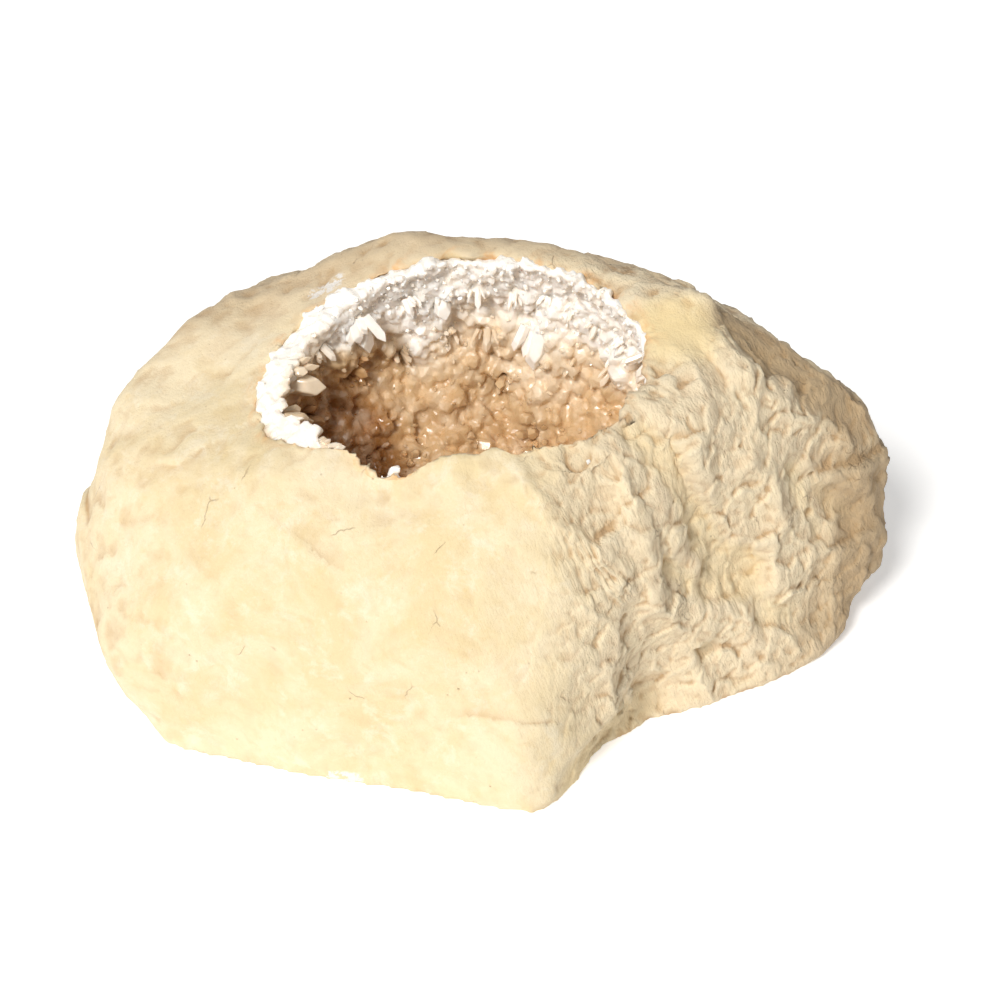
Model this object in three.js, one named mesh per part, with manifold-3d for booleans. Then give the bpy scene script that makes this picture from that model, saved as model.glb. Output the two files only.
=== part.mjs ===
// Calcite geode: a hand-dressed limestone nodule whose hollow is lined with calcite and set with crystals.
// Units are millimetres. +Z is up, +X runs along the nodule, and the mouth of the hollow opens upwards and
// a little towards -Y. The origin is the middle of the nodule's bounding box, on the plane it rests on.
import * as THREE from "three";
import { mergeVertices } from "three/addons/utils/BufferGeometryUtils.js";
import { ImprovedNoise } from "three/addons/math/ImprovedNoise.js";
import Module from "manifold-3d";

const wasm = await Module();
wasm.setup();

// Driving dimensions
const STONE = { width: 300, depth: 208, height: 141 };
const HEART_HEIGHT = 70; // height of the point that the stone's broken faces are measured from
const EDGE_SHARPNESS = 36; // how crisply two broken faces meet
const STONE_DETAIL = 14; // steps along each edge of the icosahedron behind the stone's skin
const HOLLOW_DETAIL = 9; // the same for both skins of the lining
const GAP = 0.3; // left between pieces that touch

// The hollow in the limestone, and the open space inside the calcite that lines it: uneven eggs, each with a
// heart, three half-axes and the wavelength and height of its unevenness.
const VUG = { heart: [-9, -8, 100], semi: [73, 54, 64], wave: 34, height: 1.6 };
const VOID = { heart: [-4, -10, 102], semi: [67, 50, 58], wave: 20, height: 5 };
const BAY = { bearing: -44, tilt: 25, spread: 0.42, depth: 6 }; // the corner of the hollow at the front right
const THINNEST_LINING = 3.2;
const ROOT = 2.4; // how deep a crystal's foot sits in the lining

// Broken faces of the nodule: compass bearing and tilt of the outward normal, in degrees, then its distance
// from the heart. Bearing 0 is +X, 90 is +Y.
const FACES = [
  [-106, 5, 87], // front left, lower: the broad smooth face
  [-105, 32, 75], // front left, upper, up to the lip
  [-140, 35, 100], // left shoulder, towards the front
  [-135, -10, 146], // left foot
  [-165, -22, 155], // left end, undercut
  [-175, 25, 139], // left end, upper
  [-165, 63, 80], // left of the mouth
  [-95, 77, 63], // in front of the mouth
  [-76, 20, 71], // between the two front faces
  [-49, 10, 61], // front right, lower
  [-50, 27, 73], // front right, dressed with a point chisel
  [-38, 55, 75], // right of the mouth
  [-10, 0, 128], // right end
  [2, 30, 118], // right end, upper
  [28, 8, 119], // right end, towards the back
  [-10, -30, 127], // right end, undercut
  [35, 46, 94], // behind the right ridge
  [55, 15, 114], // back right
  [60, 55, 89], // back right, upper
  [80, 45, 93], // behind the crown
  [92, 15, 108], // back
  [127, 50, 109], // back left, upper
  [150, 20, 134], // back left
  [135, -15, 125], // back left, lower
  [90, -30, 105], // back, lower
  [45, -25, 118], // back right, lower
];

// Dents (positive) and swellings (negative) of the skin: bearing, tilt and spread in degrees, depth.
const DENTS = [
  [-54, -44, 18, 20], // the scoop under the right shoulder
];

const UNDULATION = { size: 46, height: 3.2 }; // gentle waviness over the whole stone
const noise = new ImprovedNoise();

function direction(bearing, tilt) {
  const b = THREE.MathUtils.degToRad(bearing);
  const t = THREE.MathUtils.degToRad(tilt);
  return new THREE.Vector3(Math.cos(t) * Math.cos(b), Math.cos(t) * Math.sin(b), Math.sin(t));
}

const faces = FACES.map(([bearing, tilt, distance]) => ({ normal: direction(bearing, tilt), distance }));
const dents = DENTS.map(([bearing, tilt, spread, depth]) => ({
  middle: direction(bearing, tilt),
  spread: THREE.MathUtils.degToRad(spread),
  depth,
}));

// Distance from the heart to the skin of the stone, along the unit vector d.
function stoneRadius(d) {
  let sum = 0;
  for (const face of faces) {
    sum += Math.max(0, d.dot(face.normal) / face.distance) ** EDGE_SHARPNESS;
  }
  let radius = sum ** (-1 / EDGE_SHARPNESS);
  for (const dent of dents) {
    radius -= dent.depth * Math.exp(-((d.angleTo(dent.middle) / dent.spread) ** 2));
  }
  const p = d.clone().multiplyScalar(radius / UNDULATION.size);
  return radius + UNDULATION.height * noise.noise(p.x, p.y, p.z);
}

// A closed skin around a heart, whose radius is a function of direction.
function lump(detail, heart, radius) {
  const skin = new THREE.IcosahedronGeometry(1, detail);
  skin.deleteAttribute("normal");
  skin.deleteAttribute("uv");
  const closed = mergeVertices(skin, 1e-4);
  const place = closed.getAttribute("position");
  const d = new THREE.Vector3();
  for (let i = 0; i < place.count; i++) {
    d.fromBufferAttribute(place, i).normalize();
    d.multiplyScalar(radius(d)).add(heart);
    place.setXYZ(i, d.x, d.y, d.z);
  }
  return closed;
}

function solidOf(geometry) {
  const bare = geometry.clone();
  bare.deleteAttribute("normal");
  bare.deleteAttribute("uv");
  const merged = mergeVertices(bare, 1e-3);
  const corners = merged.index.array;
  const kept = [];
  for (let i = 0; i < corners.length; i += 3) {
    const [a, b, c] = corners.slice(i, i + 3);
    if (a !== b && b !== c && c !== a) kept.push(a, b, c);
  }
  return new wasm.Manifold(
    new wasm.Mesh({
      numProp: 3,
      vertProperties: new Float32Array(merged.getAttribute("position").array),
      triVerts: new Uint32Array(kept),
    }),
  );
}

function geometryOf(solid) {
  const mesh = solid.getMesh();
  const geometry = new THREE.BufferGeometry();
  geometry.setAttribute("position", new THREE.BufferAttribute(new Float32Array(mesh.vertProperties), 3));
  geometry.setIndex(new THREE.BufferAttribute(new Uint32Array(mesh.triVerts), 1));
  geometry.computeVertexNormals();
  return geometry;
}

// The whole nodule, before it is hollowed: cut flat where it rests, then brought to its size.
function wholeStone() {
  const skin = lump(STONE_DETAIL, new THREE.Vector3(0, 0, HEART_HEIGHT), stoneRadius);
  const under = new THREE.BoxGeometry(800, 800, 400).translate(0, 0, -200);
  const cut = geometryOf(solidOf(skin).subtract(solidOf(under)));
  cut.computeBoundingBox();
  const { min, max } = cut.boundingBox;
  cut.translate(-(min.x + max.x) / 2, -(min.y + max.y) / 2, 0);
  cut.scale(STONE.width / (max.x - min.x), STONE.depth / (max.y - min.y), STONE.height / max.z);
  return solidOf(cut);
}

// An uneven egg, grown by extra.
function egg({ heart, semi, wave, height }, extra) {
  return lump(HOLLOW_DETAIL, new THREE.Vector3(...heart), (d) => {
    const [a, b, c] = semi;
    const even = 1 / Math.hypot(d.x / a, d.y / b, d.z / c);
    const bay = BAY.depth * Math.exp(-((d.angleTo(direction(BAY.bearing, BAY.tilt)) / BAY.spread) ** 2));
    const p = d.clone().multiplyScalar(even / wave);
    return even + extra + bay + height * noise.noise(p.x, p.y + 4, p.z);
  });
}

const limestone = new THREE.MeshStandardMaterial({ color: 0xf0dcb4, roughness: 0.9, metalness: 0 });
const crust = new THREE.MeshStandardMaterial({ color: 0xd8b98a, roughness: 0.35, metalness: 0 });
const clear = new THREE.MeshStandardMaterial({ color: 0xe8d6b8, roughness: 0.15, metalness: 0 });

function piece(name, geometry, material) {
  const mesh = new THREE.Mesh(geometry, material);
  mesh.name = name;
  return mesh;
}

const stone = wholeStone();
const openSpace = solidOf(egg(VOID, 0)).intersect(solidOf(egg(VUG, -THINNEST_LINING)));
const shell = stone.subtract(solidOf(egg(VUG, 0)));
let lining = stone.intersect(solidOf(egg(VUG, -GAP))).subtract(openSpace);

// A blunt six-sided crystal standing on its foot along +Y, its root below the origin, its skin grown by extra.
function crystalGeometry(length, width, extra = 0) {
  const half = width / 2 + extra;
  const profile = [
    [0, -ROOT - extra],
    [0.86 * half, -ROOT - extra],
    [half, 0.35 * length],
    [0.86 * half, 0.72 * length],
    [0.5 * half, 0.93 * length],
    [0, length + extra],
  ];
  return new THREE.LatheGeometry(profile.map(([x, y]) => new THREE.Vector2(x, y)), 6);
}

// Where a level line from the middle of the open space, on a bearing and at a height, meets the lining.
const openSkin = new THREE.Mesh(geometryOf(openSpace), new THREE.MeshBasicMaterial({ side: THREE.DoubleSide }));
function wallPoint(bearing, height) {
  const [x, y] = VOID.heart;
  const ray = new THREE.Raycaster(new THREE.Vector3(x, y, height), direction(bearing, 0));
  return ray.intersectObject(openSkin)[0].point;
}

// A crystal on the wall: it points at the middle of the open space, turned down by droop degrees. It is
// trimmed where it would reach through the lining into the limestone, or into a crystal that grew before it.
let room = solidOf(egg(VUG, -2 * GAP));
function crystal(name, [bearing, height, length, width, droop]) {
  const place = wallPoint(bearing, height);
  const turn = new THREE.Quaternion();
  turn.setFromUnitVectors(new THREE.Vector3(0, 1, 0), direction(bearing + 180, -droop));
  const standing = new THREE.Matrix4().compose(place, turn, new THREE.Vector3(1, 1, 1));
  const socket = solidOf(crystalGeometry(length, width, GAP).applyMatrix4(standing));
  const whole = solidOf(crystalGeometry(length, width).applyMatrix4(standing));
  const trimmed = geometryOf(whole.intersect(room)).applyMatrix4(standing.clone().invert());
  lining = lining.subtract(socket);
  room = room.subtract(socket);
  const mesh = piece(name, trimmed, clear);
  mesh.position.copy(place);
  mesh.quaternion.copy(turn);
  return mesh;
}

// The crystals that stand clear of the druse, by tier: bearing and height of the foot, length, width, droop.
const CRYSTALS = {
  rim_crystal: [
    [172, 108, 15, 14, 4], // the two blunt ones at the left of the mouth
    [190, 106, 12, 12, 6],
    [141, 118, 15, 12, 62], // hangs at the back left
    [157, 114, 10, 10, 40],
    [122, 122, 10, 11, 40],
    [106, 120, 12, 16, 45],
    [90, 124, 10, 10, 50],
    [75, 123, 10, 9, 50],
    [61, 122, 11, 8, 60],
    [51, 120, 10, 6, 65],
    [40, 117, 11, 9, 60],
    [29, 114, 12, 10, 60],
    [14, 111, 12, 14, 50],
    [212, 108, 9, 10, 10],
  ],
  wall_crystal: [
    [103, 101, 10, 11, 30],
    [86, 104, 11, 9, 45],
    [64, 106, 18, 15, 62], // the long one in the middle of the back wall
    [50, 97, 10, 10, 40],
    [34, 99, 11, 9, 45],
    [120, 97, 9, 10, 10],
    [142, 98, 10, 11, 10],
    [165, 88, 10, 11, 0],
    [12, 90, 9, 10, 20],
    [80, 84, 9, 11, 0],
  ],
  floor_crystal: [
    [95, 66, 8, 11, -35],
    [60, 68, 8, 13, -30],
    [25, 66, 7, 10, -35],
    [130, 64, 8, 10, -35],
    [-50, 62, 8, 9, -40],
    [-110, 70, 8, 9, -30],
    [200, 66, 7, 10, -30],
  ],
};

const geode = new THREE.Group();
geode.add(piece("limestone_shell", geometryOf(shell), limestone));
for (const [tier, list] of Object.entries(CRYSTALS)) {
  list.forEach((figures, i) => geode.add(crystal(`${tier}_${i + 1}`, figures)));
}
geode.add(piece("calcite_lining", geometryOf(lining), crust));

export default geode;
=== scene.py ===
import math

import bpy
import numpy as np
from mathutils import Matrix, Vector, kdtree, noise
from mathutils.bvhtree import BVHTree


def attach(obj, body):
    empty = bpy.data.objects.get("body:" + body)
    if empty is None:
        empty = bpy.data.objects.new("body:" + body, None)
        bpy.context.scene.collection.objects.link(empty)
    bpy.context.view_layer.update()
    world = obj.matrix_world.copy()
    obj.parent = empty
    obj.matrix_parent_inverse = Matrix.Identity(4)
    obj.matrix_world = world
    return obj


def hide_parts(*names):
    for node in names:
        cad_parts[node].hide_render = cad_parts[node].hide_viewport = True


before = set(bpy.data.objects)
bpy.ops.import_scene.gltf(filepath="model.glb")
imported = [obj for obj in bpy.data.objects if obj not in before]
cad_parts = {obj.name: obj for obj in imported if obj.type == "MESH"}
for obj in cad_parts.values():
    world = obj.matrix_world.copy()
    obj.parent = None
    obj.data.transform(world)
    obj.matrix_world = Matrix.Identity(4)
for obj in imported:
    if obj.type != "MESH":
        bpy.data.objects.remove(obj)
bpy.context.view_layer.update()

MM = 0.001

# The stone, in millimetres, in the frame of the CAD
HOLLOW_HEART = np.array([-9.0, -8.0, 100.0])  # middle of the hollow in the limestone
HOLLOW_SEMI = np.array([73.0, 54.0, 64.0])  # its half-axes
SKIN_MESH = 1.7  # mesh size of the limestone skin; half this where it was dressed with a point
CRUST_MESH = 1.4  # mesh size of the calcite crust before the crystals are fused into it
DRUSE_MESH = 0.85  # and afterwards
DRUSE_KEPT = 0.32  # share of its faces kept, so that the crystals show flat faces
HIDDEN_KEPT = 0.05  # share kept where nothing is seen
LIP_GROWTH = 5.0  # how far the limestone lip at the front reaches over the calcite
LIP_SINK = 6.5  # how far the calcite lies under that lip
EDGE_SINK = 6.0  # how much lower still at the front left, where only a thin edge of it shows


# ---------------------------------------------------------------- handling pieces

def drop_selection():
    if bpy.context.object and bpy.context.object.mode != "OBJECT":
        bpy.ops.object.mode_set(mode="OBJECT")
    bpy.ops.object.select_all(action="DESELECT")


def take_up(piece):
    drop_selection()
    bpy.context.view_layer.objects.active = piece
    piece.select_set(True)


def apply_modifier(piece, kind, **settings):
    take_up(piece)
    modifier = piece.modifiers.new("shaping", kind)
    for key, value in settings.items():
        setattr(modifier, key, value)
    bpy.ops.object.modifier_apply(modifier=modifier.name)


def piece_from_node(node, name):
    """A welded copy of a CAD node, free of the frame, to be worked into a finished piece."""
    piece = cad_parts[node].copy()
    piece.data = piece.data.copy()
    piece.name = piece.data.name = name
    piece.parent = None
    for key in list(piece.keys()):
        del piece[key]
    bpy.context.scene.collection.objects.link(piece)
    take_up(piece)
    bpy.ops.object.mode_set(mode="EDIT")
    bpy.ops.mesh.select_all(action="SELECT")
    bpy.ops.mesh.remove_doubles(threshold=0.01 * MM)
    bpy.ops.mesh.normals_make_consistent(inside=False)
    bpy.ops.object.mode_set(mode="OBJECT")
    return piece


def piece_from_points(name, points, faces):
    mesh = bpy.data.meshes.new(name)
    mesh.from_pydata((points * MM).tolist(), [], faces)
    mesh.update()
    piece = bpy.data.objects.new(name, mesh)
    bpy.context.scene.collection.objects.link(piece)
    return piece


def points_of(piece):
    flat = np.empty(len(piece.data.vertices) * 3, np.float32)
    piece.data.vertices.foreach_get("co", flat)
    return flat.reshape(-1, 3).astype(float) / MM


def normals_of(piece):
    flat = np.empty(len(piece.data.vertices) * 3, np.float32)
    piece.data.vertices.foreach_get("normal", flat)
    return flat.reshape(-1, 3).astype(float)


def move_points(piece, points):
    piece.data.vertices.foreach_set("co", (points * MM).astype(np.float32).ravel())
    piece.data.update()


def weld(piece, gap):
    """Merges points nearer to one another than the gap, in metres, and clears away what is left over."""
    take_up(piece)
    bpy.ops.object.mode_set(mode="EDIT")
    bpy.ops.mesh.select_all(action="SELECT")
    bpy.ops.mesh.remove_doubles(threshold=gap)
    bpy.ops.mesh.select_all(action="SELECT")
    bpy.ops.mesh.dissolve_degenerate(threshold=gap)
    bpy.ops.mesh.select_all(action="DESELECT")
    bpy.ops.mesh.select_interior_faces()
    bpy.ops.mesh.delete(type="FACE")
    bpy.ops.mesh.select_all(action="SELECT")
    bpy.ops.mesh.delete_loose()
    bpy.ops.object.mode_set(mode="OBJECT")
    piece.data.validate()


def note(piece, name, values):
    """Writes one number a point onto the piece, for its material to read."""
    attribute = piece.data.attributes.new(name, "FLOAT", "POINT")
    attribute.data.foreach_set("value", np.asarray(values, np.float32))


def smoothed(piece, values, rounds):
    """Values averaged with those of the neighbouring points, over and over."""
    edges = np.empty(len(piece.data.edges) * 2, np.int32)
    piece.data.edges.foreach_get("vertices", edges)
    a, b = edges.reshape(-1, 2).T
    count = np.bincount(a, minlength=len(values)) + np.bincount(b, minlength=len(values))
    for _ in range(rounds):
        total = np.bincount(a, values[b], len(values)) + np.bincount(b, values[a], len(values))
        values = 0.5 * values + 0.5 * total / np.maximum(count, 1)
    return values


def unit(v):
    return v / np.linalg.norm(v, axis=-1, keepdims=True)


def ramp(low, high, x):
    t = np.clip((x - low) / (high - low), 0, 1)
    return t * t * (3 - 2 * t)


def wave(points, size, shift=0.0):
    """Smooth noise between -1 and 1, with features of about the size, in mm."""
    return np.array([noise.noise(p) for p in (points / size + shift).tolist()])


def grain(points, size, octaves=4, shift=0.0):
    """Noise with finer and finer features."""
    return np.array([noise.fractal(p, 0.9, 2.1, octaves) for p in (points / size + shift).tolist()])


def lookup(points):
    """The points sorted so that the nearest of them is quickly found."""
    tree = kdtree.KDTree(len(points))
    for i, p in enumerate(points.tolist()):
        tree.insert(p, i)
    tree.balance()
    return tree


def nearest_distance(points, others):
    tree = others if isinstance(others, kdtree.KDTree) else lookup(others)
    return np.array([tree.find(p)[2] for p in points.tolist()])


# ---------------------------------------------------------------- how stone breaks

def lots(cubes, seed):
    """Six numbers between 0 and 1 for each unit cube of space, always the same ones for the same cube."""
    x, y, z = (cubes + 1000).astype(np.uint64).T
    mixed = (x * 73856093) ^ (y * 19349663) ^ (z * 83492791) ^ np.uint64(seed * 2654435)
    drawn = []
    for _ in range(6):
        mixed = (mixed ^ (mixed >> np.uint64(15))) * np.uint64(2246822519) % np.uint64(4294967291)
        drawn.append((mixed >> np.uint64(7)) % np.uint64(65536) / 65536.0)
    return np.stack(drawn, 1)


def nuclei(points, seed):
    """The two nearest of a scatter of nuclei, one to each unit cube: how far they are, the way to them and their
    lots."""
    home = np.floor(points).astype(int)
    far = np.full((2, len(points)), np.inf)
    way = np.zeros((2, len(points), 3))
    lot = np.zeros((2, len(points), 6))
    for step in np.ndindex(3, 3, 3):
        cube = home + np.array(step) - 1
        drawn = lots(cube, seed)
        offset = points - cube - drawn[:, :3]
        distance = np.linalg.norm(offset, axis=1)
        first = distance < far[0]
        second = ~first & (distance < far[1])
        far[1][first], way[1][first], lot[1][first] = far[0][first], way[0][first], lot[0][first]
        far[0][first], way[0][first], lot[0][first] = distance[first], offset[first], drawn[first]
        far[1][second], way[1][second], lot[1][second] = distance[second], offset[second], drawn[second]
    return far, way, lot


def scars(points, size, along, stretch, slope, step, seed, ledge=0.5):
    """Height of a patchwork of chisel scars. Each scar is a flake drawn out along the stroke that cut it; it digs
    in as the stroke runs on, lies higher or lower than its neighbours by up to step, and ends at a narrow ledge."""
    along = unit(np.array(along, float))
    bent = points + size * 0.3 * np.stack([wave(points, size * 0.9, s) for s in (1.3, 4.7, 8.1)], 1)
    squeezed = bent - (1 - 1 / stretch) * (bent @ along)[:, None] * along
    far, way, lot = nuclei(squeezed / size, seed)
    run = (way @ along) * (0.3 + 1.4 * lot[:, :, 3])
    lean = way[:, :, 0] * (lot[:, :, 4] - 0.5) + way[:, :, 1] * (lot[:, :, 5] - 0.5)
    flake = -slope * (run + 1.2 * lean) + step * (lot[:, :, 2] - 0.5)
    near = 0.5 + 0.5 * ramp(0, 2 * ledge / size, far[1] - far[0])
    return size * (near * flake[0] + (1 - near) * flake[1])


def scoops(points, size, along, stretch, bowl, tilt, seed):
    """Height of a face worked over with a round-nosed chisel: every blow takes a scoop, and where two scoops meet
    the stone stands up in a sharp edge."""
    along = unit(np.array(along, float))
    bent = points + size * 0.25 * np.stack([wave(points, size * 0.9, s) for s in (2.3, 5.7, 9.1)], 1)
    squeezed = (bent - (1 - 1 / stretch) * (bent @ along)[:, None] * along) / size
    home = np.floor(squeezed).astype(int)
    lowest = np.full(len(points), np.inf)
    for step in np.ndindex(3, 3, 3):
        cube = home + np.array(step) - 1
        lot = lots(cube, seed)
        way = squeezed - cube - lot[:, :3]
        scoop = bowl * (way**2).sum(1) + tilt * (way * (lot[:, 3:] - 0.5)).sum(1) - 0.5 * tilt * (way @ along)
        lowest = np.minimum(lowest, scoop)
    return size * (lowest - lowest.mean())


def gouge(points, start, end, radius, depth):
    """How deep a round-bottomed gouge from start to end cuts at each point. A negative depth is a swelling."""
    a, b = np.array(start, float), np.array(end, float)
    line = b - a
    t = np.clip((points - a) @ line / max(line @ line, 1e-9), 0, 1)
    far = np.linalg.norm(points - a - t[:, None] * line, axis=1) / radius
    return depth * np.where(far < 1, (1 - far**2) ** 2, 0)


def slice_off(points, through, facing, most):
    """Takes a flat slice off what stands beyond a plane, down to at most so many mm."""
    facing = unit(np.array(facing, float))
    beyond = np.maximum((points - np.array(through)) @ facing, 0)
    return points - facing * (most * (1 - np.exp(-beyond / most)))[:, None]


# Broad flat cuts: a point on the plane, the way it faces and how much it takes off, in mm
SLICES = [
    [(66, -8, 131), (0.10, -0.35, 0.93), 2.5],  # the smooth patch beside the mouth
    [(-60, 96, 70), (-0.25, 0.93, 0.28), 4.0],  # the back
    [(40, 99, 60), (0.22, 0.97, 0.10), 3.5],
    [(-118, 62, 60), (-0.75, 0.62, 0.22), 4.0],
    [(112, 62, 40), (0.74, 0.66, 0.12), 4.0],
]

# Larger marks on the skin: start, end, radius and depth in mm. Negative depths stand out.
MARKS = [
    [(50, -47, 121), (80, -42, 62), 11, 4.5],  # the broad channel down the dressed side
    [(62, -43, 113), (73, -44, 80), 6, 3.8],  # the groove beside it
    [(84, -41, 54), (94, -37, 48), 15, 7.0],  # the hollow left by a big flake
    [(104, -33, 30), (112, -30, 26), 12, 4.0],
    [(44, -58, 106), (56, -62, 66), 8, -2.8],  # the rib between the channel and the comb
    [(92, -28, 92), (104, -24, 66), 9, -2.8],
    [(112, -16, 78), (122, -14, 52), 10, 4.0],
    [(79, -6, 128), (88, -14, 119), 9, -2.6],  # the ridge at the right
    [(88, -14, 119), (100, -14, 107), 9, -1.8],
    [(100, -14, 107), (113, -6, 95), 9, -1.6],
    [(113, -6, 95), (128, 4, 81), 9, -1.8],
    [(128, 4, 81), (142, 8, 52), 9, -1.4],
    [(86, 9, 126), (99, 4, 118), 14, 3.6],  # and the flat that falls away behind it
    [(99, 4, 118), (112, 5, 107), 14, 1.9],
    [(112, 4, 107), (127, 11, 91), 13, 2.6],
    [(112, 30, 106), (126, 32, 84), 20, 2.4],
    [(76, 24, 134), (90, 24, 127), 16, 3.6],
    [(-122, 22, 91), (-108, 32, 100), 30, -6.5],  # the shoulder at the left
    [(30, -88, 4), (44, -80, 4), 18, 4.5],  # the foot at the front
    [(20, 52, 136), (44, 44, 134), 9, 2.4],  # chips along the crest
    [(56, 36, 134), (64, 30, 134), 7, 2.2],
    [(-30, 62, 132), (-12, 60, 134), 10, 2.0],
    [(11, -67, 113), (37, -73, 85), 8, -1.8],  # the long edge where the smooth face ends
    [(37, -73, 85), (55, -62, 60), 8, -2.6],
    [(55, -62, 60), (75, -48, 31), 8, -2.8],
    [(60, -55, 70), (77, -46, 48), 8, 3.4],  # flakes taken off below the channel
    [(98, -33, 40), (99, -34, 28), 9, 3.0],
    [(66, -52, 46), (78, -46, 22), 7, 2.6],
    [(118, -10, 70), (132, 0, 50), 8, 3.0],
    [(126, -6, 74), (138, 2, 60), 6, -2.2],
    [(40, -74, 6), (58, -62, 8), 20, 3.4],
    [(-130, -10, 94), (-130, -30, 88), 46, -3.6],  # the full left end
    [(-128, -60, 26), (-122, -70, 24), 40, -3.8],
    [(-70, 84, 96), (-40, 92, 88), 16, 3.5],  # flakes off the back
    [(30, 92, 92), (66, 84, 80), 18, 4.0],
    [(-110, 50, 66), (-96, 64, 58), 15, 3.0],
    [(96, 54, 64), (110, 44, 58), 14, 3.0],
]


# Where the stone is painted browner behind the ridge, as painted shade on the facet that faces away from the light,
# and where calcite has spilt on it: start, end and radius in mm
SHADE_BEYOND_RIDGE = [
    [(86, 12, 127), (101, 7, 118), 17],
    [(101, 7, 118), (114, 7, 106), 16],
    [(114, 7, 106), (130, 14, 86), 15],
]
SPILLS = [[(-64, 36, 125), (-55, 39, 127), 6], [(-54, -87, 2), (-46, -89, 2), 4]]


def front_of(bearing):
    """1 along the front of the mouth, where the limestone lip hangs over the calcite, and 0 elsewhere."""
    return ramp(-130, -104, bearing) * ramp(8, -16, bearing)


def thin_edge_of(bearing):
    """1 at the front left, where only a thin edge of calcite shows."""
    return ramp(-154, -134, bearing) * ramp(-98, -112, bearing)


def bearing_of(points):
    return np.degrees(np.arctan2(points[:, 1] - HOLLOW_HEART[1], points[:, 0] - HOLLOW_HEART[0]))


def select_faces(piece, wanted):
    """Goes into edit mode with the faces selected whose points are all wanted."""
    take_up(piece)
    bpy.ops.object.mode_set(mode="EDIT")
    bpy.ops.mesh.select_mode(type="FACE")
    bpy.ops.mesh.select_all(action="DESELECT")
    bpy.ops.object.mode_set(mode="OBJECT")
    for polygon in piece.data.polygons:
        polygon.select = all(wanted[v] for v in polygon.vertices)
    bpy.ops.object.mode_set(mode="EDIT")


def outward_ways(points, normals):
    """The way each point of the skin moves when it is worked: straight out, but level at the foot of the stone."""
    foot = ramp(5, 1, points[:, 2])[:, None]
    return unit(normals * (1 - foot) + unit(points * [1, 1, 0] + [0, 0, 1e-6]) * foot)


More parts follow.
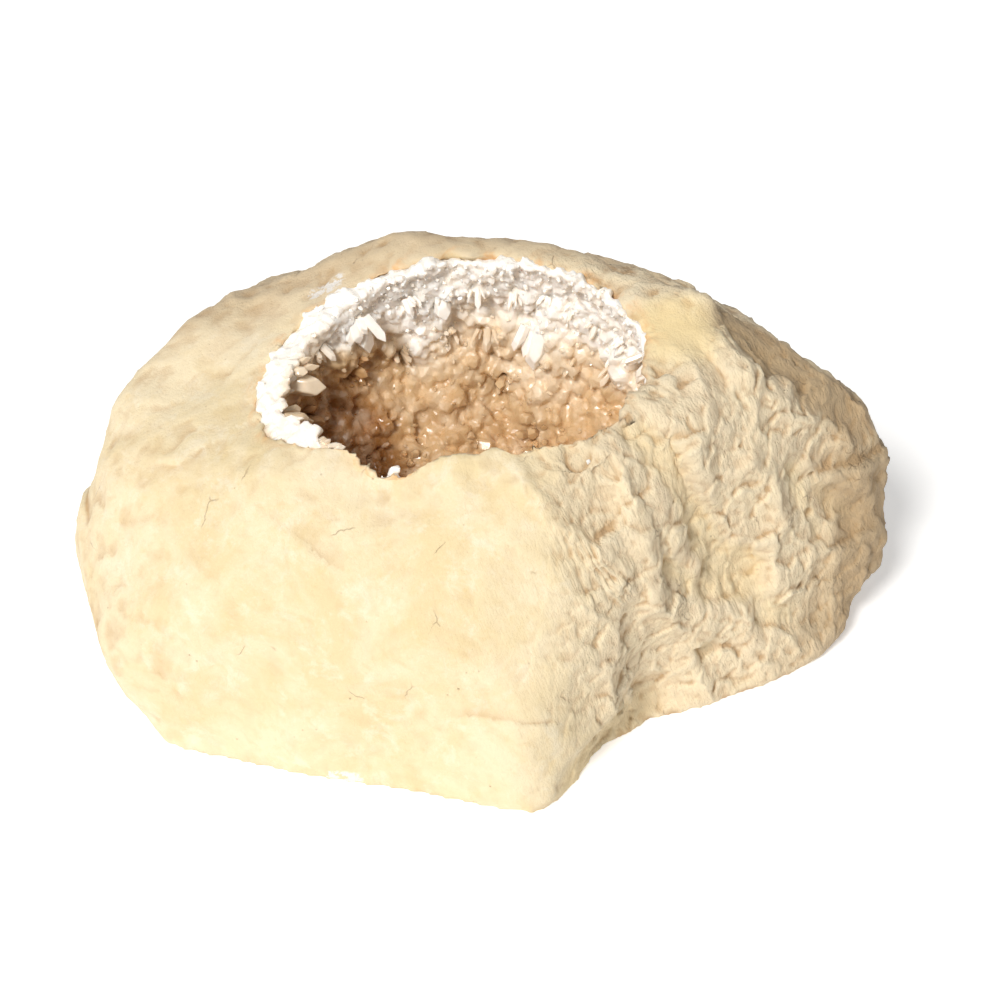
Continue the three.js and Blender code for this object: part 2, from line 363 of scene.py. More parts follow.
def limestone_skin():
    skin = piece_from_node("limestone_shell", "limestone_skin")
    apply_modifier(skin, "REMESH", mode="VOXEL", voxel_size=SKIN_MESH * MM)
    apply_modifier(skin, "SMOOTH", factor=0.5, iterations=3)

    # a coarse mesh where nothing is seen, a finer one where the stone was dressed with a point
    points, normals = points_of(skin), normals_of(skin)
    inward = (unit(HOLLOW_HEART - points) * normals).sum(1)
    deep_inside = (inward > 0.2) & (nearest_distance(points, points[inward < 0]) > 12)
    select_faces(skin, deep_inside | ((points[:, 2] < 0.3) & (normals[:, 2] < -0.9)))
    bpy.ops.mesh.decimate(ratio=0.06)
    bpy.ops.object.mode_set(mode="OBJECT")
    points, normals = points_of(skin), normals_of(skin)
    inward = (unit(HOLLOW_HEART - points) * normals).sum(1)
    x, y, z = points.T
    select_faces(skin, (inward < 0.1) & (x > 8) & (z > 1) & (normals[:, 1] < 0.05) & (y < 4))
    bpy.ops.mesh.subdivide(number_cuts=1)
    bpy.ops.object.mode_set(mode="OBJECT")

    points, normals = points_of(skin), normals_of(skin)
    inward = ramp(-0.2, 0.3, (unit(HOLLOW_HEART - points) * normals).sum(1))
    outer = inward < 0.5
    edge_gap = np.where(
        outer,
        nearest_distance(points, points[~outer]),
        nearest_distance(points, points[outer]),
    )
    bearing = bearing_of(points)
    front_lip = np.maximum(front_of(bearing), 0.8 * thin_edge_of(bearing))
    close = np.where(outer, ramp(13, 0, edge_gap), ramp(11, 3, edge_gap))
    towards = unit((HOLLOW_HEART - points) * [1, 1, 0.1])
    ragged = 0.8 + 2.4 * wave(points, 9, 2.0) + 1.3 * wave(points, 3.5, 6.0)
    points = points + towards * ((LIP_GROWTH * front_lip + ragged) * close)[:, None]
    for through, facing, most in SLICES:
        sliced = slice_off(points, through, facing, most)
        points = np.where(outer[:, None], sliced, points)
    ways = outward_ways(points, normals)
    hollow = np.zeros(len(points))
    for start, end, radius, depth in MARKS:
        taken = gouge(points, start, end, radius, depth) * outer
        points = points - ways * taken[:, None]
        hollow = np.maximum(hollow, taken)
    points[:, 2] = np.maximum(points[:, 2], 0.02)
    move_points(skin, points)
    normals = normals_of(skin)

    x, y, z = points.T
    drift = 11 * wave(points, 30, 3.0) + 6 * wave(points, 11, 5.0)
    border = 28 - 6 * ramp(80, 105, z) + 6 * ramp(50, 20, z)
    dressed = ramp(-24, 20, x - border + drift) * ramp(60, 30, y)
    dressed = np.maximum(dressed, 0.62 * ramp(30, 58, y + drift))
    dressed = np.maximum(dressed, 0.25 * ramp(-95, -135, x))
    smooth_patch = np.exp(-((np.linalg.norm(points - [64, -3, 130], axis=1) / 15) ** 4))
    dressed *= 1 - 0.9 * smooth_patch
    top = ramp(0.5, 0.85, normals[:, 2]) * (1 - smooth_patch)

    cut = (0.6 + 0.6 * dressed) * wave(points, 36, 7.0)
    cut += (0.30 + 0.70 * dressed) * scoops(points, 34, (0.45, -0.25, -0.85), 1.4, 0.16, 0.30, 11)
    cut += (0.20 + 0.80 * dressed) * scoops(points, 15, (0.35, -0.2, -0.9), 1.5, 0.22, 0.36, 23)
    cut += (0.07 + 0.93 * dressed) * scars(points, 8, (0.2, -0.3, -0.9), 1.5, 0.15, 0.10, 17, 0.4)
    cut += (0.08 + 0.92 * dressed) * scars(points, 4.5, (0.6, -0.1, -0.8), 1.5, 0.13, 0.10, 31, 0.4)
    cut += 0.9 * top * (1 - dressed) * scars(points, 8, (0.9, 0.3, 0.1), 3.0, 0.07, 0.04, 5)
    cut += (0.10 + 0.20 * dressed) * grain(points, 4.0)
    comb = gouge(points, (30, -79, 94), (42, -72, 74), 16, 1.0)
    teeth = np.sin((points @ [0.86, -0.30, 0.42]) * 2.9 + 1.5 * wave(points, 5, 1.0))
    cut += 0.32 * comb * teeth
    cut -= 0.6 * comb
    keep = np.where(outer, 1.0, ramp(8, 2, edge_gap))
    keep *= 0.4 + 0.6 * ramp(0, 6, z)
    points = points + outward_ways(points, normals) * (cut * keep)[:, None]
    points[:, 2] = np.maximum(points[:, 2], 0.02)
    move_points(skin, points)

    # relief is read by the material, which paints shade into the recesses and a lighter tone onto the raised edges
    relief = cut - smoothed(skin, cut, 16)
    note(skin, "dressed", dressed)
    note(skin, "relief", np.clip(0.5 + 0.5 * relief, 0, 1))
    # The beige tone is partly the dressed stone's own colour and partly painted shade on the upward faces towards
    # the back
    behind = 0.9 * ramp(0.45, 0.8, normals[:, 2]) * ramp(-5, 45, y)
    note(skin, "beige", np.maximum(dressed, behind) * (1 - 0.8 * smooth_patch))
    note(skin, "yellow", np.maximum(smooth_patch, 0.45 * ramp(1.0, 3.6, hollow)))
    # Painted shade: darker brown beyond the ridge and towards the back; at the right end partly the stone's own
    # darker ochre, partly painted shade
    shade_beyond_ridge = sum(gouge(points, start, end, radius, 1.6) for start, end, radius in SHADE_BEYOND_RIDGE)
    right_end = ramp(104, 136, x + drift) * ramp(100, 60, z)
    note(skin, "shaded_brown", np.clip(right_end + shade_beyond_ridge + 0.6 * ramp(22, 50, y), 0, 1))
    note(skin, "spill", sum(gouge(points, start, end, radius, 1.0) for start, end, radius in SPILLS))
    note(skin, "lip", np.where(outer, ramp(6, 0, edge_gap) * (1 - front_lip), 1.0))
    note(skin, "inside", np.where(outer, 0.0, ramp(2, 9, edge_gap)))
    note(skin, "comb", comb)
    take_up(skin)
    bpy.ops.object.shade_smooth()
    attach(skin, "root")
    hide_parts("limestone_shell")
    return skin, lookup(points[outer])


# ---------------------------------------------------------------- calcite

def shaped_crystal(name, tips, taper, bevel):
    """A six-sided crystal one unit wide and one long, standing on its foot, its root going down a quarter.
    The tips are the slanting faces that end it: bearing, tilt from upright and height on the axis."""
    drop_selection()
    bpy.ops.mesh.primitive_cylinder_add(vertices=6, radius=0.5, depth=1.5, location=(0, 0, 0.5))
    crystal = bpy.context.object
    crystal.name = crystal.data.name = name
    bpy.ops.object.transform_apply(location=True, rotation=True, scale=True)
    for polygon in crystal.data.polygons:
        polygon.select = polygon.center.z > 1.2
    bpy.ops.object.mode_set(mode="EDIT")
    bpy.ops.transform.resize(value=(taper, taper, 1))
    for bearing, tilt, height in tips:
        b, t = math.radians(bearing), math.radians(tilt)
        normal = (math.sin(t) * math.cos(b), math.sin(t) * math.sin(b), math.cos(t))
        bpy.ops.mesh.select_all(action="SELECT")
        bpy.ops.mesh.bisect(plane_co=(0, 0, height), plane_no=normal, use_fill=True, clear_outer=True)
    bpy.ops.object.mode_set(mode="OBJECT")
    if bevel:
        apply_modifier(crystal, "BEVEL", width=bevel, segments=2, limit_method="ANGLE", angle_limit=0.35)
        weld(crystal, 0.006)
    points = np.array([v.co for v in crystal.data.vertices])
    faces = [list(p.vertices) for p in crystal.data.polygons]
    bpy.data.objects.remove(crystal)
    return points, faces


def planted(shape, foot, axis, length, width, spin):
    """The points of a crystal shape set on its foot, in mm."""
    points, _ = shape
    axis = Vector(axis).normalized()
    turn = axis.to_track_quat("Z", "Y").to_matrix()
    c, s = math.cos(spin), math.sin(spin)
    x = (points[:, 0] * c - points[:, 1] * s) * width
    y = (points[:, 0] * s + points[:, 1] * c) * width
    z = np.where(points[:, 2] < 0, points[:, 2] * width, points[:, 2] * length)
    return np.stack([x, y, z], 1) @ np.array(turn).T + np.array(foot)


class Cluster:
    """Crystals gathered into one piece, each with a depth and a tone for the material."""

    def __init__(self):
        self.points, self.faces, self.depths, self.tones, self.count = [], [], [], [], 0

    def add(self, shape, foot, axis, length, width, spin, depth=0.0, tone=0.5):
        placed = planted(shape, foot, axis, length, width, spin)
        self.faces += [[v + self.count for v in face] for face in shape[1]]
        self.points.append(placed)
        self.depths.append(np.full(len(placed), depth))
        self.tones.append(np.full(len(placed), tone))
        self.count += len(placed)

    def piece(self, name):
        made = piece_from_points(name, np.concatenate(self.points), self.faces)
        note(made, "depth", np.concatenate(self.depths))
        note(made, "tone", np.concatenate(self.tones))
        return made


def thinned(points, gaps, dice):
    """Indices of points taken in random order, none nearer to one taken before than its own gap."""
    cell = gaps.max()
    taken, grid = [], {}
    for i in dice.permutation(len(points)):
        p, gap = points[i], gaps[i]
        key = tuple((p // cell).astype(int))
        near = (
            grid.get((key[0] + a, key[1] + b, key[2] + c), ())
            for a in (-1, 0, 1) for b in (-1, 0, 1) for c in (-1, 0, 1)
        )
        if all(np.sum((points[j] - p) ** 2) > gap * gap for group in near for j in group):
            grid.setdefault(key, []).append(i)
            taken.append(i)
    return taken


# Swellings of the crust into the hollow: start, end, radius and height in mm
SWELLINGS = [
    [(24, 34, 112), (22, 30, 74), 13, 5.0],  # the pale mass down the middle of the back wall
    [(40, 24, 122), (46, 16, 98), 11, 3.5],
    [(-20, 40, 120), (-24, 36, 96), 11, 3.0],
    [(-48, 20, 116), (-44, 22, 92), 12, 2.5],
    [(-30, 20, 64), (-8, 22, 62), 14, 3.5],
    [(8, 10, 56), (26, 6, 60), 13, 3.5],
    [(44, -6, 82), (48, -10, 100), 12, 3.0],
]


def depth_in_hollow(points, bark):
    """How far in from the limestone's surface the points are. At the left, at the thin front-left edge and under the
    left overhang the depth is made larger, so that the calcite there takes darker colours sooner: painted shade.
    """
    bearing = bearing_of(points)
    left = np.maximum(ramp(118, 150, bearing), ramp(-120, -150, bearing))
    # painted shade: depth made larger at the left and at the thin front-left edge
    depth = nearest_distance(points, bark) * (1 + 0.7 * left) + 4 * left + 8 * thin_edge_of(bearing)
    # painted shade under the left overhang: deeper, so darker, calcite there
    depth += 45 * ramp(-26, -52, points[:, 0]) * ramp(113, 97, points[:, 2])
    for start, end, radius, _ in SWELLINGS:
        depth = depth - gouge(points, start, end, 1.6 * radius, 14)
    return np.maximum(depth, 0)


def druse(points, normals, depth, shown, shapes):
    """The crystals that cover the crust: sugary near the rim, larger below."""
    dice = np.random.default_rng(4)
    bearing = bearing_of(points)
    covered = 7.5 * np.maximum(front_of(bearing), thin_edge_of(bearing))
    bare = np.where((shown > 0.3) & (depth > 0.8 + covered))[0]
    deep = ramp(8, 24, depth[bare])
    grains = Cluster()
    for gaps, smallest, largest in [(2.2 + 1.6 * deep, 1.1, 1.8), (3.2 + 4.5 * deep, 0.7, 1.15)]:
        for k in thinned(points[bare], gaps, dice):
            i = bare[k]
            size = gaps[k] * dice.uniform(smallest, largest)
            axis = Vector(normals[i]) + Vector(dice.normal(0, 0.45, 3)) + Vector((0, 0, -0.5 * (deep[k] < 0.9)))
            length = size * dice.uniform(0.5, 1.1)
            foot = points[i] - np.array(axis.normalized()) * size * 0.2
            shape = shapes[dice.integers(len(shapes))]
            grains.add(shape, foot, axis, length, size, dice.uniform(0, 6.28))
    return grains.piece("druse")


def sparkling_points(points, normals, depth, shapes, bark):
    """Small clear crystals, sharp enough to catch the light, sprinkled over the druse."""
    dice = np.random.default_rng(12)
    facing = (unit(HOLLOW_HEART - points) * normals).sum(1)
    covered = 2 + 6 * front_of(bearing_of(points))
    bare = np.where((facing > 0.1) & (nearest_distance(points, bark) > covered))[0]
    gaps = 3.0 + 3.5 * ramp(10, 26, depth[bare])
    sprinkled = Cluster()
    for k in thinned(points[bare], gaps, dice):
        i = bare[k]
        size = dice.uniform(0.8, 2.2)
        axis = Vector(normals[i]) + Vector(dice.normal(0, 0.5, 3))
        foot = points[i] - np.array(axis.normalized()) * size * 0.3
        shape = shapes[dice.integers(len(shapes))]
        length = size * dice.uniform(0.8, 1.5)
        sprinkled.add(shape, foot, axis, length, size, dice.uniform(0, 6.28), depth[i], dice.uniform(0, 1))
    piece = sprinkled.piece("sparkling_points")
    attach(piece, "root")
    return piece


def calcite_crust(skin, bark, shapes):
    """The crust that lines the hollow: lumpy, and grown over with blunt crystals that run into one another."""
    crust = piece_from_node("calcite_lining", "calcite_crust")
    apply_modifier(crust, "REMESH", mode="VOXEL", voxel_size=CRUST_MESH * MM)
    apply_modifier(crust, "SMOOTH", factor=0.5, iterations=3)
    points, normals = points_of(crust), normals_of(crust)
    depth = nearest_distance(points, bark)
    wall_gap = (1 - np.linalg.norm((points - HOLLOW_HEART) / HOLLOW_SEMI, axis=1)) * 60
    facing = (unit(HOLLOW_HEART - points) * normals).sum(1)
    shown = np.maximum(ramp(-0.1, 0.4, facing), ramp(2.0, 4.0, wall_gap))
    shown = np.maximum(shown, ramp(0.2, 0.6, normals[:, 2]) * ramp(98, 104, points[:, 2]))
    bearing = bearing_of(points)
    shown *= 1 - 0.8 * np.maximum(front_of(bearing), thin_edge_of(bearing)) * ramp(9, 3, depth)
    mounds, knobs = (nuclei(points / size, 3)[0][0] for size in (18, 8))
    swell = (4.0 + 4.0 * ramp(8, 24, depth)) * (0.45 - mounds) + 3.6 * (0.45 - knobs)
    for start, end, radius, height in SWELLINGS:
        swell = swell + gouge(points, start, end, radius, height)
    points = points + normals * (swell * shown + 0.9 * (1 - shown))[:, None]

    # along the front it sits lower, under the lip, and at the front left only a thin edge of it shows
    low = np.maximum(front_of(bearing), ramp(-168, -138, bearing) * ramp(-80, -105, bearing))
    points[:, 2] -= LIP_SINK * low * ramp(14, 4, depth) + 1.6 * ramp(2.5, 0.5, depth)
    points[:, 2] -= EDGE_SINK * thin_edge_of(bearing) * ramp(16, 5, depth)
    skin_surface = BVHTree.FromObject(skin, bpy.context.evaluated_depsgraph_get())
    heart = Vector(HOLLOW_HEART * MM)
    at_front = front_of(bearing)
    margin = np.where(at_front > 0.3, 1.5, 0.8)
    for i in np.where((depth < 12) & (np.maximum(at_front, thin_edge_of(bearing)) > 0.3))[0]:
        place, outward, _, _ = skin_surface.find_nearest(points[i] * MM)
        proud = (Vector(points[i] * MM) - place).dot(outward) / MM
        if proud > -margin[i] and outward.dot(place - heart) > 0:
            points[i] -= np.array(outward) * (proud + margin[i])
    move_points(crust, points)

    grains = druse(points, normals_of(crust), depth, shown, shapes)
    take_up(crust)
    grains.select_set(True)
    bpy.ops.object.join()
    apply_modifier(crust, "REMESH", mode="VOXEL", voxel_size=DRUSE_MESH * MM)
    points, normals = points_of(crust), normals_of(crust)
    facing = (unit(HOLLOW_HEART - points) * normals).sum(1)
    select_faces(crust, (facing < -0.1) & (nearest_distance(points, bark) > 6))
    bpy.ops.mesh.decimate(ratio=HIDDEN_KEPT)
    bpy.ops.object.mode_set(mode="OBJECT")
    apply_modifier(crust, "DECIMATE", ratio=DRUSE_KEPT)
    weld(crust, 0.01 * MM)
    points, normals = points_of(crust), normals_of(crust)
    depth = depth_in_hollow(points, bark)
    note(crust, "depth", depth)
    note(crust, "tone", np.clip(0.5 + 0.6 * wave(points, 7, 2.0) + 0.3 * wave(points, 3, 4.0), 0, 1))
    take_up(crust)
    bpy.ops.object.shade_flat()
    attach(crust, "root")
    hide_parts("calcite_lining")
    return crust, points, normals, depth


# For each larger crystal, in the order of the CAD nodes: how far it turns down from level, in degrees, and how
# stout it has grown, against the room it has
GROWTH = {
    "rim_crystal": [
        (4, 0.85), (6, 0.8), (62, 0.9), (40, 0.5), (40, 0.45), (45, 0.6), (50, 0.4), (50, 0.4), (60, 0.4),
        (65, 0.45), (60, 0.5), (60, 0.55), (50, 0.6), (10, 0.7),
    ],
    "wall_crystal": [
        (30, 0.5), (45, 0.55), (62, 0.8), (40, 0.5), (45, 0.6), (10, 0.5), (10, 0.6), (0, 0.6), (20, 0.5), (0, 0.6),
    ],
    "floor_crystal": [(-35, 0.6), (-30, 0.7), (-35, 0.6), (-35, 0.5), (-40, 0.5), (-30, 0.6), (-30, 0.6)],
}
VOID_HEART = np.array([-4.0, -10.0])
FOOT_DEPTH = 2.4


def large_crystals(shapes, bark):
    """One piece for each larger crystal of the CAD: the crystal itself and the small ones that grew at its foot."""
    dice = np.random.default_rng(9)
    for tier, grown in GROWTH.items():
        for number, (hang, stout) in enumerate(grown, 1):
            node = f"{tier}_{number}"
            solid = points_of(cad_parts[node])
            middle = (solid.min(0) + solid.max(0)) / 2
            away = unit(VOID_HEART - middle[:2])
            h = math.radians(hang)
            axis = np.array([*(away * math.cos(h)), -math.sin(h)])
            reach = (solid - middle) @ axis
            across = np.linalg.norm((solid - middle) - reach[:, None] * axis, axis=1).max() * 2
            foot = middle + axis * (reach.min() + FOOT_DEPTH)
            length = reach.max() - reach.min() - FOOT_DEPTH
            depth = depth_in_hollow(foot[None, :], bark)[0]
            cluster = Cluster()
            tone = dice.uniform(0.2, 0.9)
            shape = shapes[dice.integers(len(shapes))]
            thick = across * stout * 0.72
            length *= 0.5 + 0.45 * stout
            cluster.add(shape, foot, axis, length, thick, dice.uniform(0, 6.28), depth, tone)
            for _ in range(dice.integers(5, 9)):
                side = unit(np.cross(axis, dice.normal(0, 1, 3)))
                base = foot + side * (thick * 0.4 + across * dice.uniform(0, 0.25))
                lean = Vector(axis) + Vector(side) * dice.uniform(0.0, 0.7)
                size = thick * dice.uniform(0.35, 0.75)
                reach_out = length * dice.uniform(0.35, 0.85)
                shape = shapes[dice.integers(len(shapes))]
                cluster.add(shape, base, lean, reach_out, size, dice.uniform(0, 6.28), depth, tone)
            piece = cluster.piece(node.replace("_crystal_", "_point_"))
            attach(piece, "root")
            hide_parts(node)
            yield piece


# ---------------------------------------------------------------- finishes

class Finish:
    """A material being mixed: adds nodes and joins them up."""

    def __init__(self, name):
        self.material = bpy.data.materials.new(name)
        self.material.use_nodes = True
        self.tree = self.material.node_tree
        self.tree.nodes.clear()
        self.output = self.tree.nodes.new("ShaderNodeOutputMaterial")
        self.surface = self.tree.nodes.new("ShaderNodeBsdfPrincipled")
        self.tree.links.new(self.surface.outputs[0], self.output.inputs[0])
        self.place = self.tree.nodes.new("ShaderNodeTexCoord").outputs["Object"]

    def add(self, kind, inputs=None, **settings):
        node = self.tree.nodes.new(kind)
        for key, value in settings.items():
            setattr(node, key, value)
        for socket, value in (inputs or {}).items():
            self.put(node.inputs[socket], value)
        return node

    def put(self, socket, value):
        if isinstance(value, bpy.types.NodeSocket):
            self.tree.links.new(value, socket)
        else:
            socket.default_value = value

    def shader(self, **values):
        for name, value in values.items():
            self.put(self.surface.inputs[name.replace("_", " ")], value)

    def noted(self, name):
        return self.add("ShaderNodeAttribute", attribute_name=name).outputs["Fac"]

    def clouds(self, size, detail=4.0, rough=0.55, bend=0.0, place=None):
        """Noise with features of about the size, in mm."""
        inputs = {"Vector": place or self.place, "Scale": 1 / (size * MM), "Detail": detail}
        inputs |= {"Roughness": rough, "Distortion": bend}
        return self.add("ShaderNodeTexNoise", inputs).outputs["Fac"]

    def cells(self, size, feature="F1", place=None):
        inputs = {"Vector": place or self.place, "Scale": 1 / (size * MM)}
        return self.add("ShaderNodeTexVoronoi", inputs, feature=feature).outputs["Distance"]

    def drawn_out(self, along, stretch):
        """The place, so turned and stretched that a pattern on it runs one way."""
        angles = Vector(along).to_track_quat("Z", "Y").to_euler()
        inputs = {"Vector": self.place, "Rotation": angles, "Scale": (1, 1, stretch)}
        return self.add("ShaderNodeMapping", inputs, vector_type="TEXTURE").outputs[0]

    def scaled(self, value, low, high, to_low=0.0, to_high=1.0):
        inputs = {0: value, 1: low, 2: high, 3: to_low, 4: to_high}
        return self.add("ShaderNodeMapRange", inputs).outputs[0]

    def sum(self, a, b, operation="ADD"):
        return self.add("ShaderNodeMath", {0: a, 1: b}, operation=operation).outputs[0]

    def times(self, a, b):
        return self.sum(a, b, "MULTIPLY")

    def blend(self, share, a, b, mode="MIX"):
        node = self.add("ShaderNodeMix", data_type="RGBA", blend_type=mode)
        self.put(node.inputs[0], share)
        self.put(node.inputs[6], a)
        self.put(node.inputs[7], b)
        return node.outputs[2]

    def bump(self, height, strength, depth, below=None):
        """depth is in mm."""
        inputs = {"Height": height, "Strength": strength, "Distance": depth * MM}
        if below:
            inputs["Normal"] = below
        return self.add("ShaderNodeBump", inputs).outputs[0]


def colour(r, g, b):
    """A colour given as 0 to 255 the way a screen shows it."""
    linear = [((c / 255 + 0.055) / 1.055) ** 2.4 if c > 10 else c / 3295 for c in (r, g, b)]
    return (*linear, 1.0)


def limestone_finish():
    f = Finish("limestone")
    dressed, relief = f.noted("dressed"), f.noted("relief")
    base = f.blend(f.scaled(f.clouds(30, 10, 0.7, 0.5), 0.40, 0.60), colour(224, 204, 161), colour(232, 216, 182))
    base = f.blend(f.scaled(f.clouds(12, 10, 0.75, 0.4), 0.52, 0.62, 0, 0.45), base, colour(238, 229, 206))
    base = f.blend(f.scaled(f.clouds(7, 8, 0.75, 0.3), 0.54, 0.66, 0, 0.35), base, colour(224, 196, 142))
    beige = f.blend(f.scaled(f.clouds(14, 8, 0.68), 0.36, 0.66), colour(244, 226, 192), colour(234, 213, 180))
    # beige: the dressed stone's own tone, and painted shade on the upward faces at the back
    base = f.blend(f.scaled(f.noted("beige"), 0, 1, 0, 0.85), base, beige)
    # painted shade: darker ochre in the recesses of the worked surface
    base = f.blend(f.scaled(relief, 0.2, 0.5, 0.7, 0), base, colour(186, 146, 98))
    # lighter on the raised edges of the dressed stone: partly pale stone dust, partly painted highlight
    base = f.blend(f.times(f.scaled(relief, 0.55, 0.85, 0, 0.6), dressed), base, colour(240, 226, 196))
    base = f.blend(f.scaled(f.noted("yellow"), 0, 1, 0, 0.7), base, colour(244, 219, 164))
    # painted shade: darker brown beyond the ridge, towards the back and, partly, at the right end
    base = f.blend(f.scaled(f.noted("shaded_brown"), 0, 1, 0, 0.8), base, colour(176, 148, 110))
    spilt = f.scaled(f.times(f.noted("spill"), f.scaled(f.clouds(3, 6, 0.7), 0.4, 0.6)), 0.15, 0.35)
    base = f.blend(spilt, base, colour(232, 226, 218))
    stain = f.times(f.noted("lip"), f.scaled(f.clouds(8, 5, 0.6, 0.5), 0.46, 0.64, 0, 0.7))
    base = f.blend(stain, base, colour(226, 170, 108))
    base = f.blend(f.noted("inside"), base, colour(214, 176, 124))
    streaks = f.clouds(3.0, 6, 0.6, 0, f.drawn_out((0.8, -0.2, -0.5), 4))
    base = f.blend(f.scaled(streaks, 0.60, 0.74, 0, 0.3), base, colour(210, 184, 142))
    speckle = f.clouds(1.2, 6, 0.75)
    base = f.blend(f.scaled(speckle, 0.56, 0.74, 0, 0.35), base, colour(206, 180, 140))
    wander = f.add("ShaderNodeTexNoise", {"Vector": f.place, "Scale": 1 / (14 * MM), "Detail": 4.0}).outputs["Color"]
    astray = f.add("ShaderNodeMix", data_type="VECTOR")
    f.put(astray.inputs["Factor"], 0.012)
    f.put(astray.inputs[4], f.place)
    f.put(astray.inputs[5], wander)
    cracks = f.scaled(f.cells(40, "DISTANCE_TO_EDGE", astray.outputs[1]), 0, 0.008, 1, 0)
    cracks = f.times(cracks, f.scaled(f.clouds(20, 3), 0.58, 0.64))
    base = f.blend(f.times(cracks, 0.5), base, colour(150, 118, 84))
    pits = f.times(f.scaled(f.cells(4.2), 0.05, 0.12, 1, 0), f.scaled(f.clouds(15, 2), 0.58, 0.64))
    base = f.blend(f.times(pits, 0.5), base, colour(150, 118, 84))
    combs = f.clouds(1.3, 1, 0.4, 0, f.drawn_out((0.42, -0.25, -0.87), 16))
    strokes = f.clouds(1.1, 4, 0.6, 0, f.drawn_out((0.35, -0.2, -0.9), 6))
    chips = f.cells(2.6, "F1", f.drawn_out((0.5, -0.2, -0.8), 1.6))
    fine = f.bump(f.clouds(0.7, 6, 0.75), f.scaled(dressed, 0, 1, 0.4, 0.8), 0.3)
    fine = f.bump(f.clouds(2.6, 6, 0.7, 0.4), f.scaled(dressed, 0, 1, 0.5, 0.9), 0.8, fine)
    fine = f.bump(chips, f.scaled(dressed, 0.2, 0.9, 0, 0.5), 0.6, fine)
    fine = f.bump(strokes, f.scaled(dressed, 0.1, 0.8, 0.35, 0.8), 0.8, fine)
    fine = f.bump(f.times(combs, f.noted("comb")), 0.9, 1.2, fine)
    fine = f.bump(f.times(f.sum(pits, cracks), -1.0), 0.6, 0.4, fine)
    f.shader(Base_Color=base, Roughness=0.88, Normal=fine)
    f.surface.inputs["Specular IOR Level"].default_value = 0.3
    f.surface.inputs["Sheen Weight"].default_value = 0.1
    f.surface.inputs["Sheen Roughness"].default_value = 0.6
    return f.material


def calcite_finish(name, clear, rough, soak):
    """White near the mouth, honey and amber below, brown only where depth_in_hollow adds painted shade at the left;
    clear is how much light goes straight through, soak how many mm it spreads inside."""
    f = Finish(name)
    depth, tone = f.noted("depth"), f.noted("tone")
    wander = f.scaled(f.clouds(16, 3), 0.3, 0.7, -6, 6)
    level = f.sum(depth, wander)
    white, shell = colour(253, 248, 241), colour(242, 226, 202)
    honey, amber, shaded_brown = colour(208, 176, 134), colour(188, 146, 98), colour(150, 102, 56)
    base = f.blend(f.scaled(level, 16, 30), white, shell)
    base = f.blend(f.scaled(level, 22, 42), base, honey)
    base = f.blend(f.scaled(level, 44, 76), base, amber)
    # painted shade: the brown level is reached only where depth_in_hollow has deepened the calcite at the left
    base = f.blend(f.scaled(level, 74, 104), base, shaded_brown)
    base = f.blend(f.scaled(tone, 0.5, 1.0, 0, 0.30), base, colour(248, 232, 208))
    base = f.blend(f.scaled(f.clouds(9, 3), 0.52, 0.75, 0, 0.35), base, colour(244, 224, 194))
    f.shader(Base_Color=base, Roughness=f.scaled(f.clouds(1.4, 3), 0.3, 0.7, rough * 0.6, rough * 1.6))
    facets = f.bump(f.cells(1.7), 0.25, 0.4)
    f.shader(Normal=f.bump(f.clouds(1.1, 4), 0.2, 0.3, facets))
    f.surface.subsurface_method = "BURLEY"
    surface = f.surface.inputs
    surface["IOR"].default_value = 1.5
    surface["Transmission Weight"].default_value = clear
    surface["Subsurface Weight"].default_value = 0.8
    surface["Subsurface Radius"].default_value = (1.0, 0.8, 0.6)
    surface["Subsurface Scale"].default_value = soak * MM
    surface["Coat Weight"].default_value = 0.15
    surface["Coat Roughness"].default_value = 0.08
    return f.material


# ---------------------------------------------------------------- the geode

skin, bark = limestone_skin()
skin.data.materials.clear()
skin.data.materials.append(limestone_finish())

GRAINS = [
    shaped_crystal("grain_a", [(20, 48, 0.96), (140, 44, 1.0), (262, 50, 0.92)], 0.86, 0),
    shaped_crystal("grain_b", [(0, 56, 1.0), (118, 40, 0.9), (240, 60, 1.0)], 0.7, 0),
    shaped_crystal("grain_c", [(40, 35, 0.9), (170, 55, 1.0), (290, 50, 0.95)], 0.95, 0),
]
POINTS = [
    shaped_crystal("point_a", [(20, 48, 0.96), (140, 44, 1.0), (262, 52, 0.94)], 0.84, 0.05),
    shaped_crystal("point_b", [(0, 58, 1.0), (118, 42, 0.93), (236, 60, 1.0)], 0.7, 0.045),
    shaped_crystal("point_c", [(40, 38, 0.93), (170, 58, 1.0), (290, 52, 0.97)], 0.9, 0.055),
]
crust, crust_points, crust_normals, crust_depth = calcite_crust(skin, bark, GRAINS)
crust.data.materials.clear()
crust.data.materials.append(calcite_finish("calcite_crust", 0.0, 0.3, 3.0))
sparkle = sparkling_points(crust_points, crust_normals, crust_depth, GRAINS, bark)
clear = calcite_finish("calcite_points", 0.0, 0.12, 2.0)
sparkle.data.materials.append(clear)
for piece in large_crystals(POINTS, bark):
    piece.data.materials.append(clear)


# ---------------------------------------------------------------- floor, lights and camera

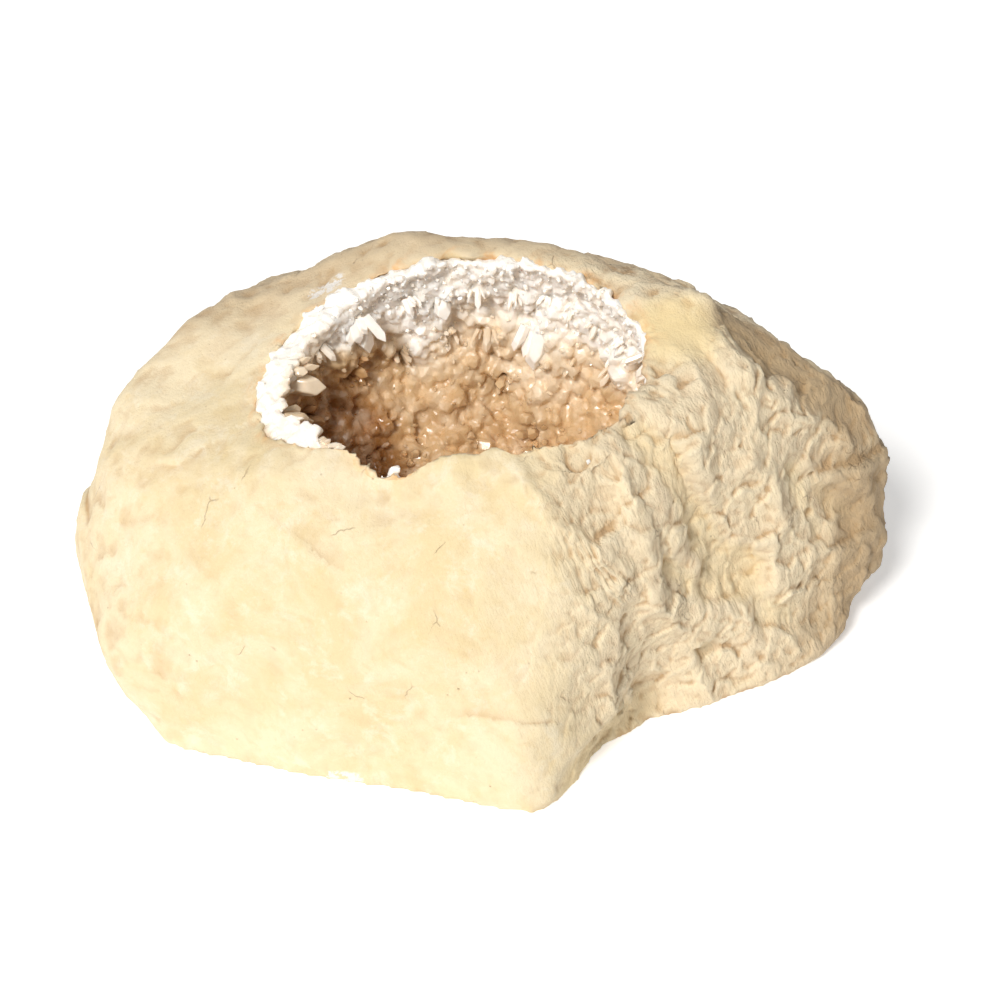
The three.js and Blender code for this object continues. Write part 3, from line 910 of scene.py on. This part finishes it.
def stage():
    drop_selection()
    bpy.ops.mesh.primitive_plane_add(size=12, location=(0, 2, 0))
    floor = bpy.context.object
    floor.name = "floor"
    f = Finish("floor")
    f.shader(Base_Color=(0.93, 0.93, 0.93, 1), Roughness=0.3)
    f.surface.inputs["Emission Color"].default_value = (1, 1, 1, 1)
    f.surface.inputs["Emission Strength"].default_value = 0.34
    floor.data.materials.append(f.material)

    world = bpy.data.worlds.new("studio")
    bpy.context.scene.world = world
    world.use_nodes = True
    tree = world.node_tree
    way = tree.nodes.new("ShaderNodeTexCoord").outputs["Generated"]
    towards = tree.nodes.new("ShaderNodeVectorMath")
    towards.operation = "DOT_PRODUCT"
    towards.inputs[1].default_value = (-0.62, -0.42, 0.66)
    tree.links.new(way, towards.inputs[0])
    strength = tree.nodes.new("ShaderNodeMapRange")
    for socket, value in zip((1, 2, 3, 4), (-0.7, 1.0, 0.06, 0.50)):
        strength.inputs[socket].default_value = value
    tree.links.new(towards.outputs["Value"], strength.inputs[0])
    tree.links.new(strength.outputs[0], tree.nodes["Background"].inputs[1])
    tree.nodes["Background"].inputs[0].default_value = (1, 0.99, 0.975, 1)


def softbox(name, towards, strength, spread, tint):
    """Soft light coming from one side, from a source as wide as spread, in degrees."""
    light = bpy.data.lights.new(name, "SUN")
    light.energy = strength
    light.angle = math.radians(spread)
    light.color = tint
    lamp = bpy.data.objects.new(name, light)
    bpy.context.scene.collection.objects.link(lamp)
    lamp.rotation_euler = Vector(towards).to_track_quat("Z", "Y").to_euler()


def camera():
    data = bpy.data.cameras.new("camera")
    data.lens = 85
    data.shift_x, data.shift_y = 0.011, -0.029
    camera = bpy.data.objects.new("camera", data)
    bpy.context.scene.collection.objects.link(camera)
    raised = math.radians(35)
    back = Vector((0, -math.cos(raised), math.sin(raised)))
    camera.location = Vector((0, 0, 0.070)) + back * 0.851
    camera.rotation_euler = back.to_track_quat("Z", "Y").to_euler()
    bpy.context.scene.camera = camera


stage()
softbox("key", (-0.33, -0.65, 0.68), 2.8, 15, (1, 0.985, 0.96))
camera()
bpy.context.scene.view_settings.view_transform = "Standard"
